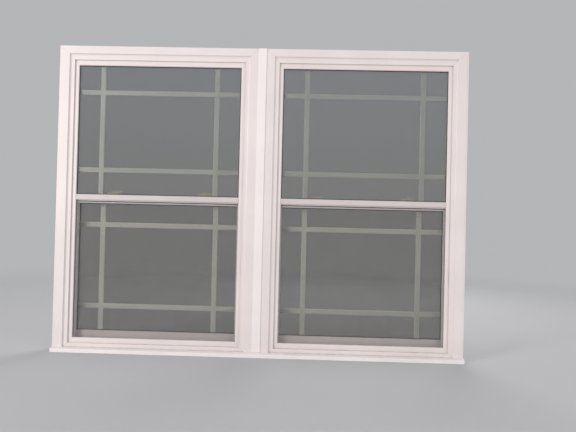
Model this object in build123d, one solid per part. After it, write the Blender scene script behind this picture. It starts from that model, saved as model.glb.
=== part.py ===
from build123d import *
import os

# Twin single-hung window: two equal units side by side on a mullion.
# X runs along the wall, Y runs from outside (y = 0, front of the frame) into the room, Z is up.
# The origin lies under the middle of the sill nosing. Lengths are in millimetres.

# Overall sizes
UNIT_WIDTH = 797.0
UNIT_HEIGHT = 1210.0
UNIT_GAP = 18.0

# Frame moulding, measured from the daylight edge outward
FACE_WIDTH = 75.0
SILL_FACE = 54.0
RING_WIDTH = 15.0
RING_BEVEL = 2.5
QUIRK_WIDTH = 2.0
QUIRK_CUT = 1.0
BAND_WIDTH = 12.0
COVE_WIDTH = 7.0
COVE_PULL = (0.75, 0.95)
BEAD_WIDTH = 6.0
BEAD_STEP = 1.5
HEAD_SPREAD = 1.25
SILL_STEP = 18.0
WALL = 2.2
CUT_PAST = 1.0

# Depths behind the exterior face
BAND_DEPTH = 6.0
RING_DEPTH = 12.0
RING_THICK = 3.0
REAR_LEG = 5.0
ROOM_MARGIN = 5.0

# Glazing
GLASS = 3.0
CAVITY = 13.0
GLASS_BITE = 12.0
SEAT_ROOM = 3.0
BEAD_DEPTH = 5.0
BEAD_SETBACK = 1.0
BEAD_EDGE = 1.5
BEAD_SLOPE = 2.5
SASH_BEAD_SLOPE = 6.0
SPACER_WIDTH = 9.0
SPACER_INSET = 1.0
GRILLE_WIDTH = 20.0
GRILLE_THICK = 5.5
GRILLE_BEVEL = 1.5
GRILLE_SIDE = 95.0
UPPER_GRILLE_TOP = 106.0
UPPER_GRILLE_FOOT = 98.0
SASH_GRILLE_TOP = 86.0
SASH_GRILLE_FOOT = 96.0

# Fixed meeting rail
UPPER_LITE_HEIGHT = 513.0
MEETING_FACE = 21.0
MEETING_FRONT = 12.5
MEETING_LEDGE = 1.0
MEETING_TAIL = 4.0
MEETING_EASE = 0.5

# Insect screen
SCREEN_DEPTH = 22.0
SCREEN_THICK = 8.0
SCREEN_BAR = 17.0
SCREEN_LAP = 12.0
SCREEN_HEAD_LAP = 3.0
SCREEN_FOOT_LAP = 19.0
SCREEN_CLEAR = 1.0
SCREEN_ROOM = 2.0
SCREEN_EASE = 1.0
MESH_THICK = 0.4
MESH_BITE = 6.0
SPLINE_WIDTH = 3.5
SPLINE_DEPTH = 3.0

# Sash
SASH_DEPTH = 32.0
SASH_GAP = 2.0
SASH_LAP = 37.5
SIDE_GAP = 1.5
SASH_INSET = 2.0
SASH_FOOT = 30.0
SASH_FOOT_RAIL = 48.0
SASH_HEAD_RAIL = 33.0
SASH_LEG = 4.0
SASH_CHAMFER = 3.0
SIGHT_BEVEL = 1.5
FOOT_GAP = 3.0
LIFT_REACH = 12.0
LIFT_DROP = 7.0
LIFT_WALL = 3.0
LIFT_ROOT = 5.0
LIFT_DOWN = 16.0
KEY_LENGTH = 75.0

# Travel
SASH_TRAVEL = 480.0
TILT_CLEAR = 1.0

# Balance and pivot
POCKET_WIDTH = 22.0
POCKET_DEPTH = 22.6
LIP = 2.0
SLOT = 10.0
PIVOT_UP = 10.0
PIVOT_DIAMETER = 9.0
PIVOT_FIT = 0.3
PIN_START = 0.4
PIN_SETBACK = 3.0
TANG_LENGTH = 40.0
TANG_THICK = 3.0
TANG_SCREW_SHARES = (0.45, 0.8)
TANG_SCREW_PAST = 2.0
SHOE_HEIGHT = 32.0
SHOE_CLEAR = 0.3
SHOE_LIFT = 1.0
SHOE_CHAMFER = 2.0
ROD_WIDTH = 9.0
ROD_THICK = 1.6
ROD_PITCH = 90.0
ROD_LAP = 50.0
TUBE_DIAMETER = 14.0
TUBE_WALL = 1.0
TUBE_STOP = 4.0
TUBE_PLUG = 22.0

# Locks and latches
LOCK_SIDE = 138.5
LOCK_LENGTH = 56.0
LOCK_WIDTH = 26.0
LOCK_HEIGHT = 14.0
LOCK_SETBACK = 1.0
LOCK_FLOOR = 3.5
LOCK_ROUND = 3.0
LOCK_END = 0.45
LOCK_SCREW_EDGE = 1.5
CAM_THICK = 4.5
CAM_RADIUS = 15.0
CAM_SETBACK = 9.0
CAM_OPEN_ANGLE = 135.0
LEVER_OPEN_ANGLE = 22.0
CAM_CLEAR = 0.5
CAM_SHAFT = 7.0
CAM_HUB_WALL = 2.0
CAM_TIP = 5.0
LEVER_LENGTH = 34.0
LEVER_THICK = 4.5
LEVER_HUB_WALL = 3.0
LEVER_TIP = 4.0
LEVER_ROUND = 1.4
LEVER_LAP = 0.5
KEEPER_LENGTH = 42.0
KEEPER_PLATE = 2.0
KEEPER_BASE = 8.0
KEEPER_EAR = 5.25
KEEPER_EDGE = 1.0
LATCH_WIDTH = 9.0
LATCH_HEIGHT = 11.0
LATCH_LENGTH = 52.0
LATCH_FIT = 0.15
LATCH_SETBACK = 0.5
LATCH_BEVEL = 4.5
RIDGE_SHARE = 0.62
RIDGE_LENGTH = 14.0
RIDGE_HEIGHT = 2.5
RIDGE_SIDE = 1.0

# Sill, mullion and nosing
DAM_THICK = 3.2
SCREEN_WALL = 8.0
NOSE_HEIGHT = 18.0
NOSE_FRONT = 14.0
NOSE_OUT = 20.0
NOSE_ROUND = 3.0
DRIP = 2.0
MULLION_WALL = 2.0
MULLION_FRONT = 12.0
MULLION_BACK = 11.0
CAP_LAP = 8.0
CAP_THICK = 3.0
CAP_LEG = 8.0
CAP_LEG_WALL = 1.6

# Fasteners
INSTALL_HOLE = 5.0
INSTALL_SINK = 9.0
SINK_DEPTH = 2.5
INSTALL_INSET = 240.0
SCREW_SHANK = 4.0
SCREW_HEAD = 7.0
HEAD_HEIGHT = 2.0
HEAD_ROUND = 1.2
SCREW_POINT = 2.0
LOCK_SCREW_BITE = 11.0
KEEPER_SCREW_BITE = 10.0
SCREW_FIT = 0.2
PILE_WIDTH = 5.0
PILE_GAP = 0.3
PILE_UP = 2.0
BULB_SETBACK = 2.0
BULB_TAPER = 1.0

# Places worked out from the sizes above
OPEN_HALF = UNIT_WIDTH / 2 - FACE_WIDTH
OPEN_HEAD = UNIT_HEIGHT - FACE_WIDTH
MEETING_TOP = OPEN_HEAD - UPPER_LITE_HEIGHT
GLASS_FRONT = RING_DEPTH + RING_THICK
UNIT_GLASS = 2 * GLASS + CAVITY
BEAD_FRONT = GLASS_FRONT + UNIT_GLASS
GLASS_SEAT = GLASS_BITE + SEAT_ROOM
LEG_FRONT = BEAD_FRONT + BEAD_DEPTH
STOP = LEG_FRONT + REAR_LEG
SASH_FRONT = STOP + SASH_GAP
SASH_BACK = SASH_FRONT + SASH_DEPTH
FRAME_DEPTH = SASH_BACK + ROOM_MARGIN
CHANNEL = SASH_LAP + SIDE_GAP
POCKET_IN = CHANNEL + LIP
POCKET_OUT = POCKET_IN + POCKET_WIDTH
POCKET_BACK = FRAME_DEPTH - WALL
POCKET_FRONT = POCKET_BACK - POCKET_DEPTH
PIVOT_Y = POCKET_BACK - POCKET_DEPTH / 2
PIVOT_Z = SASH_FOOT + PIVOT_UP
SILL_FLOOR = SASH_FOOT - FOOT_GAP
DAM_TOP = PIVOT_Z - (SASH_BACK - PIVOT_Y) - TILT_CLEAR
BALANCE_X = OPEN_HALF + POCKET_IN + POCKET_WIDTH / 2
SASH_SIGHT_HALF = OPEN_HALF - SASH_INSET
SASH_HALF = OPEN_HALF + SASH_LAP
SASH_HEAD = MEETING_TOP - MEETING_LEDGE
SASH_SIGHT_FOOT = SASH_FOOT + SASH_FOOT_RAIL
SASH_SIGHT_HEAD = SASH_HEAD - SASH_HEAD_RAIL
LOCK_OFFSET = OPEN_HALF - LOCK_SIDE
MEETING_FOOT = MEETING_TOP - MEETING_FACE
MEETING_FLOOR = MEETING_TOP - RING_WIDTH
LOCK_FRONT = SASH_FRONT + LOCK_SETBACK
CAM_Y = LOCK_FRONT + CAM_SETBACK
SCREEN_FOOT = SILL_FACE - SCREEN_FOOT_LAP
SCREEN_HEAD = MEETING_FOOT + SCREEN_HEAD_LAP
SHOE_FOOT = SILL_FLOOR + SHOE_LIFT
SHOE_HEAD = SHOE_FOOT + SHOE_HEIGHT
TUBE_FOOT = SHOE_HEAD + SASH_TRAVEL + TUBE_STOP
TUBE_HEAD = OPEN_HEAD + CHANNEL - SIDE_GAP
KEEPER_SCREW_STEP = KEEPER_LENGTH / 2 + KEEPER_EAR
PITCH = UNIT_WIDTH + UNIT_GAP
UPPER_LITE = (-OPEN_HALF, OPEN_HALF, MEETING_TOP, OPEN_HEAD)
SASH_LITE = (-SASH_SIGHT_HALF, SASH_SIGHT_HALF, SASH_SIGHT_FOOT, SASH_SIGHT_HEAD)

# The corners, as signs of X and Z, that each side of a ring runs between
RING_CORNERS = {
    "left": ((-1, -1), (-1, 1)),
    "top": ((-1, 1), (1, 1)),
    "right": ((1, 1), (1, -1)),
    "bottom": ((1, -1), (-1, -1)),
}


def outline(*points):
    """A flat face inside straight lines."""
    return make_face(Polyline(*points, close=True))


def block(x0, x1, y0, y1, z0, z1):
    """A box between two corners."""
    return Pos((x0 + x1) / 2, (y0 + y1) / 2, (z0 + z1) / 2) * Box(x1 - x0, y1 - y0, z1 - z0)


def rod_x(x0, x1, y, z, diameter):
    """A round bar along X."""
    turned = Rot(0, 90, 0) * Cylinder(diameter / 2, abs(x1 - x0))
    return Pos((x0 + x1) / 2, y, z) * turned


def rod_z(x, y, z0, z1, diameter):
    """A round bar along Z."""
    return Pos(x, y, (z0 + z1) / 2) * Cylinder(diameter / 2, z1 - z0)


def grown(rect, by):
    """A rectangle (x0, x1, z0, z1) grown on each side."""
    x0, x1, z0, z1 = rect
    return (x0 - by, x1 + by, z0 - by, z1 + by)


def sheet(rect, y0, y1):
    """A flat pane between two depths."""
    x0, x1, z0, z1 = rect
    return block(x0, x1, y0, y1, z0, z1)


def upright_prism(points, y0, y1):
    """A prism along Y on an outline drawn in X and Z."""
    face = Plane.XZ * outline(*points)
    return extrude(face, amount=y1 - y0, dir=(0, 1, 0)).moved(Location((0, y0, 0)))


def reach_of(section):
    """How far a section reaches outward from the daylight edge."""
    return section.bounding_box().max.X


def mitre_line(opening, corner, bends, big):
    """The cut through one corner, from the daylight corner outward through its bends."""
    x0, x1, z0, z1 = opening
    across, up = corner
    x = x1 if across > 0 else x0
    z = z1 if up > 0 else z0
    steps = [(0, 0)] + bends + [(big, big)]
    return [(x + across * out, z + up * over) for out, over in steps]


def wedge(side, opening, bends, big, y0, y1):
    """The space that one member keeps between the cuts through its two corners."""
    first, second = RING_CORNERS[side]
    start = mitre_line(opening, first, bends.get(first[1], []), big)
    end = mitre_line(opening, second, bends.get(second[1], []), big)
    return upright_prism(start + end[::-1], y0, y1)


def member(section, side, opening, reach, bends):
    """One side of a welded ring: its section is drawn outward (x) and inward in depth (y)."""
    x0, x1, z0, z1 = opening
    low, high = z0 - reach["bottom"], z1 + reach["top"]
    near, far = x0 - reach["left"], x1 + reach["right"]
    big = max(reach.values()) + WALL
    runs = {
        "left": (Plane(origin=(x0, 0, high), x_dir=(-1, 0, 0), z_dir=(0, 0, -1)), high - low),
        "right": (Plane(origin=(x1, 0, low), x_dir=(1, 0, 0), z_dir=(0, 0, 1)), high - low),
        "top": (Plane(origin=(far, 0, z1), x_dir=(0, 0, 1), z_dir=(-1, 0, 0)), far - near),
        "bottom": (Plane(origin=(near, 0, z0), x_dir=(0, 0, -1), z_dir=(1, 0, 0)), far - near),
    }
    plane, length = runs[side]
    bar = extrude(plane * section, amount=length, dir=plane.z_dir)
    depths = section.bounding_box()
    front, back = depths.min.Y - CUT_PAST, depths.max.Y + CUT_PAST
    if not bends:
        return bar & wedge(side, opening, {}, big, front, back)
    bent = wedge(side, opening, bends, big, front, GLASS_FRONT)
    return bar & (bent + wedge(side, opening, {}, big, GLASS_FRONT, back))


def mitred(opening, left, right, top, bottom, bends=None):
    """Four mitred members welded into one ring. Only the moulding in front of the glass has bends."""
    sections = {"left": left, "right": right, "top": top, "bottom": bottom}
    reach = {side: reach_of(section) for side, section in sections.items()}
    ring = None
    for side, section in sections.items():
        piece = member(section, side, opening, reach, bends)
        ring = piece if ring is None else ring + piece
    return ring


def even_ring(opening, section):
    """A mitred ring with one section all round."""
    return mitred(opening, section, section, section, section)


def front_moulding(spread):
    """The ring, quirk and band that run round the whole opening, wider on head and sill."""
    ring_end = RING_WIDTH * spread
    quirk_end = (RING_WIDTH + QUIRK_WIDTH) * spread
    return [
        (0, RING_DEPTH + RING_BEVEL),
        (RING_BEVEL * spread, RING_DEPTH),
        (ring_end, RING_DEPTH),
        (ring_end, RING_DEPTH + QUIRK_CUT),
        (quirk_end, RING_DEPTH + QUIRK_CUT),
        (quirk_end, BAND_DEPTH),
        (quirk_end + BAND_WIDTH * spread, BAND_DEPTH),
    ]


def frame_bends():
    """Where the mitres of the moulding bend, so that its lines meet at head and sill."""
    quirk = RING_WIDTH + QUIRK_WIDTH
    cove = quirk + BAND_WIDTH + COVE_WIDTH
    bead = FACE_WIDTH - BEAD_WIDTH
    step = SILL_FACE - SILL_STEP
    top = [(cove, cove * HEAD_SPREAD), (bead, bead)]
    foot = [(quirk, quirk * HEAD_SPREAD), (step, step)]
    return {1: top, -1: foot}


def jamb_section(spread):
    """The hollow section of head and jambs: moulding, glazing seat, sash channel, balance pocket."""
    front = front_moulding(spread)
    band_end = front[-1]
    cove_width = COVE_WIDTH * spread
    cove_end = (band_end[0] + cove_width, 0)
    across, deep = COVE_PULL
    cove_pull = (band_end[0] + cove_width * across, BAND_DEPTH * deep)
    bead_in = FACE_WIDTH - BEAD_WIDTH
    slot_in, slot_out = PIVOT_Y - SLOT / 2, PIVOT_Y + SLOT / 2
    rest = [
        cove_end,
        (bead_in, 0),
        (bead_in, BEAD_STEP),
        (FACE_WIDTH, BEAD_STEP),
        (FACE_WIDTH, FRAME_DEPTH),
        (CHANNEL, FRAME_DEPTH),
        (CHANNEL, slot_out),
        (POCKET_IN, slot_out),
        (POCKET_IN, POCKET_BACK),
        (POCKET_OUT, POCKET_BACK),
        (POCKET_OUT, POCKET_FRONT),
        (POCKET_IN, POCKET_FRONT),
        (POCKET_IN, slot_in),
        (CHANNEL, slot_in),
        (CHANNEL, STOP),
        (RING_WIDTH, STOP),
        (RING_WIDTH, GLASS_FRONT),
        (0, GLASS_FRONT),
        front[0],
    ]
    border = Polyline(*front) + Bezier(band_end, cove_pull, cove_end) + Polyline(*rest)
    section = make_face(border)
    return section - jamb_chambers(cove_end[0] + WALL)


def jamb_chambers(web):
    """Closed air chambers of the jamb, drawn one wall inside its faces."""
    inner = RING_WIDTH + QUIRK_WIDTH + WALL
    chamber_back = STOP - WALL
    front = rect_face(inner, web - WALL, RING_DEPTH + QUIRK_CUT + WALL, chamber_back)
    middle = rect_face(web, FACE_WIDTH - WALL, BEAD_STEP + WALL, chamber_back)
    floor_wall = SINK_DEPTH + WALL
    throat = rect_face(CHANNEL + floor_wall, POCKET_OUT, STOP + WALL, POCKET_FRONT - WALL)
    rear = rect_face(POCKET_OUT + WALL, FACE_WIDTH - WALL, STOP + WALL, POCKET_BACK)
    return front + middle + throat + rear


def rect_face(x0, x1, y0, y1):
    return outline((x0, y0), (x1, y0), (x1, y1), (x0, y1))


def sill_section():
    """The sill's section, drawn down from the daylight edge."""
    floor = SILL_FACE - SILL_FLOOR
    track = SCREEN_FOOT_LAP
    step = SILL_FACE - SILL_STEP
    return outline(
        *front_moulding(HEAD_SPREAD)[:-1],
        (step, BAND_DEPTH),
        (step, 0),
        (SILL_FACE, 0),
        (SILL_FACE, FRAME_DEPTH),
        (floor, FRAME_DEPTH),
        (floor, STOP),
        (SCREEN_WALL, STOP),
        (SCREEN_WALL, SCREEN_DEPTH + SCREEN_THICK + 2 * SCREEN_ROOM),
        (track, SCREEN_DEPTH + SCREEN_THICK + 2 * SCREEN_ROOM),
        (track, GLASS_FRONT),
        (0, GLASS_FRONT),
    )


def sill_body():
    """The low part of the sill under the sash. Its dam stays just under the sash that lies tilted."""
    half = OPEN_HALF + CHANNEL
    wide = UNIT_WIDTH / 2 - WALL
    body = block(-wide, wide, STOP, FRAME_DEPTH, 0, SILL_FLOOR)
    hollow = block(-half, half, STOP + WALL, POCKET_BACK, WALL, SILL_FLOOR - WALL)
    dam = block(-half, half, FRAME_DEPTH - DAM_THICK, FRAME_DEPTH, SILL_FLOOR, DAM_TOP)
    closure = block(-wide, wide, BEAD_STEP + WALL, STOP, 0, WALL)
    return body + dam + closure, hollow


def install_points():
    """Heights of the screw holes through each jamb."""
    return (INSTALL_INSET, UNIT_HEIGHT - INSTALL_INSET)


def install_depth():
    return (STOP + POCKET_FRONT) / 2


def build_frame():
    opening = (-OPEN_HALF, OPEN_HALF, SILL_FACE, OPEN_HEAD)
    jamb, head = jamb_section(1), jamb_section(HEAD_SPREAD)
    frame = mitred(opening, jamb, jamb, head, sill_section(), frame_bends())
    body, hollow = sill_body()
    frame = frame + body - hollow
    for sign in (-1, 1):
        for z in install_points():
            floor = sign * (OPEN_HALF + CHANNEL)
            outside = sign * (UNIT_WIDTH / 2 + CUT_PAST)
            frame = frame - rod_x(floor, outside, install_depth(), z, INSTALL_HOLE)
            sink_end = floor + sign * SINK_DEPTH
            frame = frame - rod_x(floor - sign * CUT_PAST, sink_end, install_depth(), z, INSTALL_SINK)
        frame = frame - tube_screw_hole(sign)
    return frame


def tube_screw_place(sign):
    """Where the screw of a balance tube enters: inner end, outer end and height."""
    inner = sign * (BALANCE_X - TUBE_DIAMETER / 2)
    outer = sign * (OPEN_HALF + POCKET_OUT + WALL * 2)
    return inner, outer, TUBE_HEAD - TUBE_PLUG / 2


def tube_screw_hole(sign):
    inner, outer, z = tube_screw_place(sign)
    return rod_x(inner, outer + sign * CUT_PAST, PIVOT_Y, z, clear_hole())


def build_meeting_rail():
    """The fixed rail: a front leg from ring to ring and a body from wall to wall."""
    half = OPEN_HALF + RING_WIDTH
    foot, floor = MEETING_FOOT, MEETING_FLOOR
    slot_front = SCREEN_DEPTH - SCREEN_ROOM
    slot_back = SCREEN_DEPTH + SCREEN_THICK + SCREEN_ROOM
    slot_head = SCREEN_HEAD + SCREEN_CLEAR
    body = outline(
        (GLASS_FRONT, foot),
        (GLASS_FRONT, floor),
        (LEG_FRONT, floor),
        (LEG_FRONT, SASH_HEAD),
        (STOP, SASH_HEAD),
        (STOP, foot - MEETING_TAIL),
        (slot_back, foot - MEETING_TAIL),
        (slot_back, slot_head),
        (slot_front, slot_head),
        (slot_front, foot),
    )
    chamber = rect_face(slot_back + WALL, STOP - WALL, foot - MEETING_TAIL + WALL, floor - WALL)
    leg = outline(
        (MEETING_FRONT, foot),
        (MEETING_FRONT, MEETING_TOP - RING_BEVEL),
        (GLASS_FRONT - MEETING_EASE, MEETING_TOP),
        (GLASS_FRONT, MEETING_TOP),
        (GLASS_FRONT, foot),
    )
    rail = along_x(body - chamber, -half, half) + along_x(leg, -OPEN_HALF, OPEN_HALF)
    for x in keeper_screw_xs():
        foot, top = SASH_HEAD - KEEPER_SCREW_BITE, SASH_HEAD + CUT_PAST
        rail = rail - rod_z(x, keeper_screw_y(), foot, top, pilot())
    return rail


def along_x(section, x0, x1):
    """Extrude a section drawn in depth (x) and height (y) along X."""
    plane = Plane(origin=(x0, 0, 0), x_dir=(0, 1, 0), z_dir=(1, 0, 0))
    return extrude(plane * section, amount=x1 - x0, dir=(1, 0, 0))


def glass_pane(lite, front):
    return sheet(grown(lite, GLASS_BITE), front, front + GLASS)


def spacer(lite, front):
    """The edge spacer with its seal, between the two panes."""
    edge = grown(lite, GLASS_BITE - SPACER_INSET)
    middle = sheet(grown(edge, -SPACER_WIDTH), front - CUT_PAST, front + CAVITY + CUT_PAST)
    return sheet(edge, front, front + CAVITY) - middle


def grille(lite, front, top, foot):
    """Two upright and two level bars with bevelled edges, crossing in one plane."""
    x0, x1, z0, z1 = grown(lite, GLASS_BITE - SPACER_INSET - SPACER_WIDTH)
    mid = front + CAVITY / 2
    half_w, half_t, cut = GRILLE_WIDTH / 2, GRILLE_THICK / 2, GRILLE_BEVEL
    section = outline(
        (-half_w, -half_t + cut),
        (-half_w + cut, -half_t),
        (half_w - cut, -half_t),
        (half_w, -half_t + cut),
        (half_w, half_t - cut),
        (half_w - cut, half_t),
        (-half_w + cut, half_t),
        (-half_w, half_t - cut),
    )
    bars = None
    for x in (-OPEN_HALF + GRILLE_SIDE, OPEN_HALF - GRILLE_SIDE):
        plane = Plane(origin=(x, mid, z0), x_dir=(1, 0, 0), z_dir=(0, 0, 1))
        bar = extrude(plane * section, amount=z1 - z0, dir=(0, 0, 1))
        bars = bar if bars is None else bars + bar
    for z in (lite[3] - top, lite[2] + foot):
        plane = Plane(origin=(x0, mid, z), x_dir=(0, 0, -1), z_dir=(1, 0, 0))
        bars = bars + extrude(plane * section, amount=x1 - x0, dir=(1, 0, 0))
    return bars


def glazing_beads(lite, outer, front, back, slope):
    """Snap-in beads that hold a glass from the room side, sloped to the pane."""
    section = outline(
        (outer, front),
        (BEAD_SETBACK, front),
        (BEAD_SETBACK, front + BEAD_EDGE),
        (BEAD_SETBACK + slope, back),
        (outer, back),
    )
    return even_ring(lite, section)


def sash_member(reach):
    """A sash section: exterior leg, glazing seat open to the room, air chamber."""
    seat, back, cut = GLASS_SEAT, SASH_BACK, SASH_CHAMFER
    section = outline(
        (0, SASH_FRONT + SIGHT_BEVEL),
        (SIGHT_BEVEL, SASH_FRONT),
        (reach - cut, SASH_FRONT),
        (reach, SASH_FRONT + cut),
        (reach, back - cut),
        (reach - cut, back),
        (seat, back),
        (seat, SASH_FRONT + SASH_LEG),
        (0, SASH_FRONT + SASH_LEG),
    )
    return section - rect_face(seat + WALL, reach - cut, SASH_FRONT + cut, back - cut)


def lift_rail():
    """The finger lift along the bottom rail: a shelf with a downturned edge."""
    top = SASH_SIGHT_FOOT - LIFT_DOWN
    tip = SASH_BACK + LIFT_REACH
    section = outline(
        (SASH_BACK, top),
        (tip - LIFT_WALL, top),
        (tip, top - LIFT_WALL),
        (tip, top - LIFT_DROP),
        (tip - LIFT_WALL / 2, top - LIFT_DROP),
        (tip - LIFT_WALL, top - LIFT_ROOT),
        (tip - LIFT_ROOT, top - LIFT_WALL),
        (SASH_BACK, top - LIFT_WALL),
    )
    return along_x(section, -SASH_SIGHT_HALF, SASH_SIGHT_HALF)


def corner_key(sign, z0, z1):
    """A solid reinforcement inside a sash corner."""
    outer = SASH_HALF - SASH_CHAMFER
    xs = sorted((sign * outer, sign * (outer - KEY_LENGTH)))
    cut = SASH_CHAMFER
    return block(xs[0], xs[1], SASH_FRONT + cut, SASH_BACK - cut, z0, z1)


def latch_box(sign, tip, fit):
    """The straight space of a tilt latch, from its tip inward, widened by the fit."""
    xs = sorted((sign * tip, sign * (SASH_HALF - LATCH_SETBACK - LATCH_LENGTH - fit)))
    half = LATCH_WIDTH / 2 + fit
    return block(xs[0], xs[1], PIVOT_Y - half, PIVOT_Y + half, SASH_HEAD - LATCH_HEIGHT, SASH_HEAD)


def tang_box(sign):
    """The flat tang of a pivot bar, which fills its slot in the sash corner."""
    xs = sorted((sign * (SASH_HALF + CUT_PAST), sign * (SASH_HALF - TANG_LENGTH)))
    half = PIVOT_DIAMETER / 2
    thick = TANG_THICK / 2
    return block(xs[0], xs[1], PIVOT_Y - half, PIVOT_Y + half, PIVOT_Z - thick, PIVOT_Z + thick)


def build_sash():
    stile = sash_member(SASH_LAP + SASH_INSET)
    head = sash_member(SASH_HEAD - SASH_SIGHT_HEAD)
    foot = sash_member(SASH_SIGHT_FOOT - SASH_FOOT)
    sash = mitred(SASH_LITE, stile, stile, head, foot) + lift_rail()
    cut = SASH_CHAMFER
    for sign in (-1, 1):
        sash = sash + corner_key(sign, SASH_FOOT + cut, SASH_SIGHT_FOOT - GLASS_SEAT)
        sash = sash + corner_key(sign, SASH_SIGHT_HEAD + GLASS_SEAT, SASH_HEAD - cut)
    for sign in (-1, 1):
        sash = sash - latch_box(sign, SASH_HALF + CUT_PAST, LATCH_FIT) - tang_box(sign)
        for x in lock_screw_xs(sign):
            sash = sash - rod_z(x, CAM_Y, SASH_HEAD - LOCK_SCREW_BITE, SASH_HEAD + CUT_PAST, pilot())
        for x in tang_screw_xs(sign):
            sash = sash - rod_z(x, PIVOT_Y, SASH_FOOT - CUT_PAST, tang_screw_top(), pilot())
    return sash


def pilot():
    """The hole that a screw cuts its own thread in, which the screw fills."""
    return SCREW_SHANK - 2 * SCREW_FIT


def clear_hole():
    """The hole that a screw passes through without touching."""
    return SCREW_SHANK + 2 * SCREW_FIT


def lock_screw_xs(sign):
    centre = sign * LOCK_OFFSET
    step = LOCK_LENGTH / 2 - SCREW_HEAD / 2 - LOCK_SCREW_EDGE
    return (centre - step, centre + step)


def lock_screw_seat():
    """The lock screws sit sunk in the housing, clear of the lever above them."""
    return SASH_HEAD + LOCK_HEIGHT - HEAD_HEIGHT - SCREW_FIT


def cam_z():
    low = SASH_HEAD + LOCK_FLOOR
    return low, low + CAM_THICK


def build_lock_base(sign):
    """A lock housing with rounded ends, hollow for the cam and open at the front."""
    x = sign * LOCK_OFFSET
    plan = RectangleRounded(LOCK_LENGTH, LOCK_WIDTH, LOCK_WIDTH * LOCK_END)
    body = Pos(x, LOCK_FRONT + LOCK_WIDTH / 2, SASH_HEAD) * extrude(plan, amount=LOCK_HEIGHT)
    body = fillet(body.faces().sort_by(Axis.Z)[-1].edges(), LOCK_ROUND)
    low, high = cam_z()
    reach = CAM_RADIUS + CAM_CLEAR
    room = rod_z(x, CAM_Y, low - CAM_CLEAR, high + CAM_CLEAR, 2 * reach)
    front = LOCK_FRONT - CUT_PAST
    mouth = block(x - reach, x + reach, front, CAM_Y, low - CAM_CLEAR, high + CAM_CLEAR)
    top = SASH_HEAD + LOCK_HEIGHT + CUT_PAST
    neck = rod_z(x, CAM_Y, low, top, CAM_SHAFT + 2 * PIVOT_FIT)
    body = body - room - mouth - neck
    for at in lock_screw_xs(sign):
        body = body - rod_z(at, CAM_Y, SASH_HEAD - CUT_PAST, top, clear_hole())
        body = body - rod_z(at, CAM_Y, lock_screw_seat(), top, SCREW_HEAD + 2 * SCREW_FIT)
    return body


def build_cam(sign):
    """The cam lobe, its shaft and the lever on top, in the open position."""
    x = sign * LOCK_OFFSET
    low, high = cam_z()
    top = SASH_HEAD + LOCK_HEIGHT + CAM_CLEAR
    lobe = Pos(x, CAM_Y, (low + high) / 2) * extrude(cam_plan(), amount=CAM_THICK / 2, both=True)
    shaft = rod_z(x, CAM_Y, low, top + LEVER_LAP, CAM_SHAFT)
    lever = Pos(x, CAM_Y, top) * extrude(lever_plan(), amount=LEVER_THICK)
    lever = fillet(lever.faces().sort_by(Axis.Z)[-1].edges(), LEVER_ROUND)
    return lobe + shaft + lever


def cam_plan():
    """A lobe that reaches its full radius on one side of the shaft only."""
    hub = Circle(CAM_SHAFT / 2 + CAM_HUB_WALL)
    tip = Rot(0, 0, CAM_OPEN_ANGLE) * Pos(CAM_RADIUS - CAM_TIP, 0) * Circle(CAM_TIP)
    return make_hull((hub + tip).edges())


def lever_plan():
    """The lever tapers from its hub to a rounded finger tip."""
    hub = Circle(CAM_SHAFT / 2 + LEVER_HUB_WALL)
    tip = Rot(0, 0, LEVER_OPEN_ANGLE) * Pos(LEVER_LENGTH - LEVER_TIP, 0) * Circle(LEVER_TIP)
    return make_hull((hub + tip).edges())


def keeper_screw_xs():
    step = KEEPER_SCREW_STEP
    return [x + out for x in (-LOCK_OFFSET, LOCK_OFFSET) for out in (-step, step)]


def keeper_screw_y():
    return (LEG_FRONT + STOP) / 2


def build_keeper(sign):
    """A hooked plate on the fixed rail: foot, riser and the lip the cam turns under."""
    x = sign * LOCK_OFFSET
    half = KEEPER_LENGTH / 2
    low, high = cam_z()
    front = STOP - KEEPER_BASE
    riser_top = high + CAM_CLEAR + KEEPER_PLATE
    ear = KEEPER_SCREW_STEP + SCREW_HEAD / 2 + KEEPER_EDGE
    foot = block(x - ear, x + ear, front, STOP, SASH_HEAD, SASH_HEAD + KEEPER_PLATE)
    hook = outline(
        (front, SASH_HEAD),
        (front, riser_top),
        (STOP, riser_top),
        (STOP, riser_top - KEEPER_PLATE),
        (front + KEEPER_PLATE, riser_top - KEEPER_PLATE),
        (front + KEEPER_PLATE, SASH_HEAD),
    )
    keeper = foot + along_x(hook, x - half, x + half)
    foot_z, top_z = SASH_HEAD - CUT_PAST, SASH_HEAD + KEEPER_PLATE + CUT_PAST
    for at in (x - KEEPER_SCREW_STEP, x + KEEPER_SCREW_STEP):
        keeper = keeper - rod_z(at, keeper_screw_y(), foot_z, top_z, clear_hole())
    return keeper


def build_latch(sign):
    """A tilt latch bolt, drawn back, with its bevelled tip and thumb ridge."""
    tip = SASH_HALF - LATCH_SETBACK
    bolt = latch_box(sign, tip, 0)
    ridge_x = sign * (tip - LATCH_LENGTH * RIDGE_SHARE)
    half_x, half_y = RIDGE_LENGTH / 2, LATCH_WIDTH / 2 - RIDGE_SIDE
    ridge = block(
        ridge_x - half_x,
        ridge_x + half_x,
        PIVOT_Y - half_y,
        PIVOT_Y + half_y,
        SASH_HEAD - RIDGE_HEIGHT / 2,
        SASH_HEAD + RIDGE_HEIGHT,
    )
    corner = Pos(sign * tip, PIVOT_Y - LATCH_WIDTH / 2, SASH_HEAD - LATCH_HEIGHT / 2)
    bevel = Box(LATCH_BEVEL, LATCH_BEVEL, LATCH_HEIGHT + 2 * CUT_PAST)
    return bolt - corner * Rot(0, 0, 45) * bevel + ridge


def tang_screw_xs(sign):
    return [sign * (SASH_HALF - TANG_LENGTH * share) for share in TANG_SCREW_SHARES]


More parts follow.
